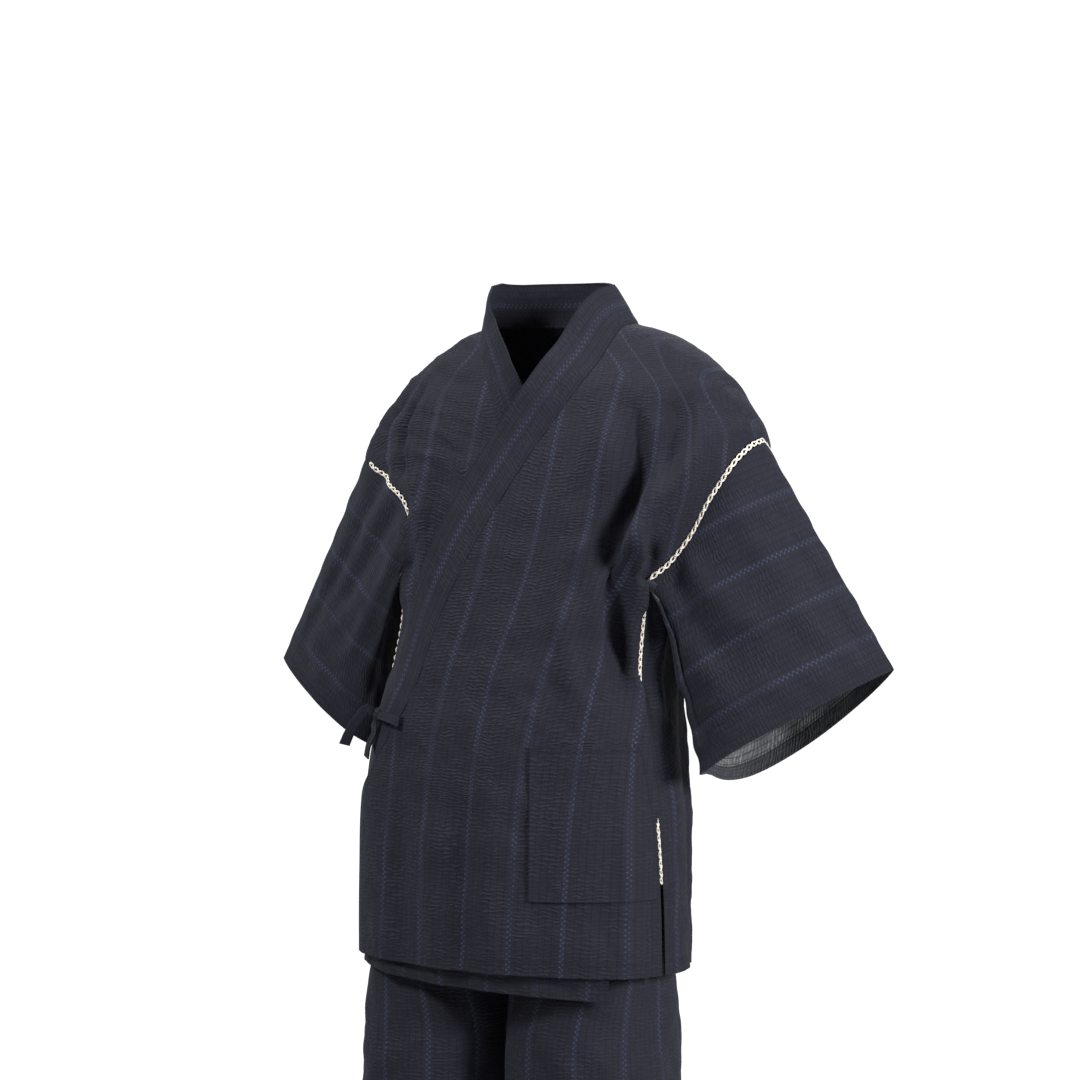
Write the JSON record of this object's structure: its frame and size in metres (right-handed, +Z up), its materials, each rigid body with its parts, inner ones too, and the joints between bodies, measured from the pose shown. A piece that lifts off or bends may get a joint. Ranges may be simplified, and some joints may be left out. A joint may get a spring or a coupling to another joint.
{
  "type": "jinbei set",
  "caption": "Indigo crinkled cotton jinbei as worn: a wrap jacket with wide short sleeves, openwork braid at the armholes and side seams, a patch pocket and a side bow, over loose trousers.",
  "frame": {"origin": "between the shoulders, level with the base of the neck, where the wearer's shoulders carry the jacket", "axes": "+Z up, the garment faces -Y, +X towards the wearer's left"},
  "size_m": [0.8136, 0.3103, 1.1839],
  "materials": {
    "indigo_cotton": "crinkled indigo-black cotton with fine blue zigzag warp stripes, matt",
    "cream_braid": "twisted cream cotton openwork braid"
  },
  "bodies": {
    "root": {"front_left": "indigo_cotton", "back_left": "indigo_cotton", "front_right": "indigo_cotton", "back_right": "indigo_cotton", "sleeve_front_left": "indigo_cotton", "sleeve_back_left": "indigo_cotton", "sleeve_front_right": "indigo_cotton", "sleeve_back_right": "indigo_cotton", "collar_left": "indigo_cotton", "collar_back": "indigo_cotton", "collar_right": "indigo_cotton", "pocket": "indigo_cotton", "tie_knot": "indigo_cotton", "tie_from_side": "indigo_cotton", "tie_loop": "indigo_cotton", "tie_end_lower": "indigo_cotton", "tie_end_upper": "indigo_cotton", "trouser_front_left": "indigo_cotton", "trouser_back_left": "indigo_cotton", "trouser_front_right": "indigo_cotton", "trouser_back_right": "indigo_cotton", "trouser_waistband": "indigo_cotton", "armhole_braid_left": "cream_braid", "armhole_braid_right": "cream_braid", "side_braid_left": "cream_braid", "side_braid_right": "cream_braid"}
  },
  "joints": []
}
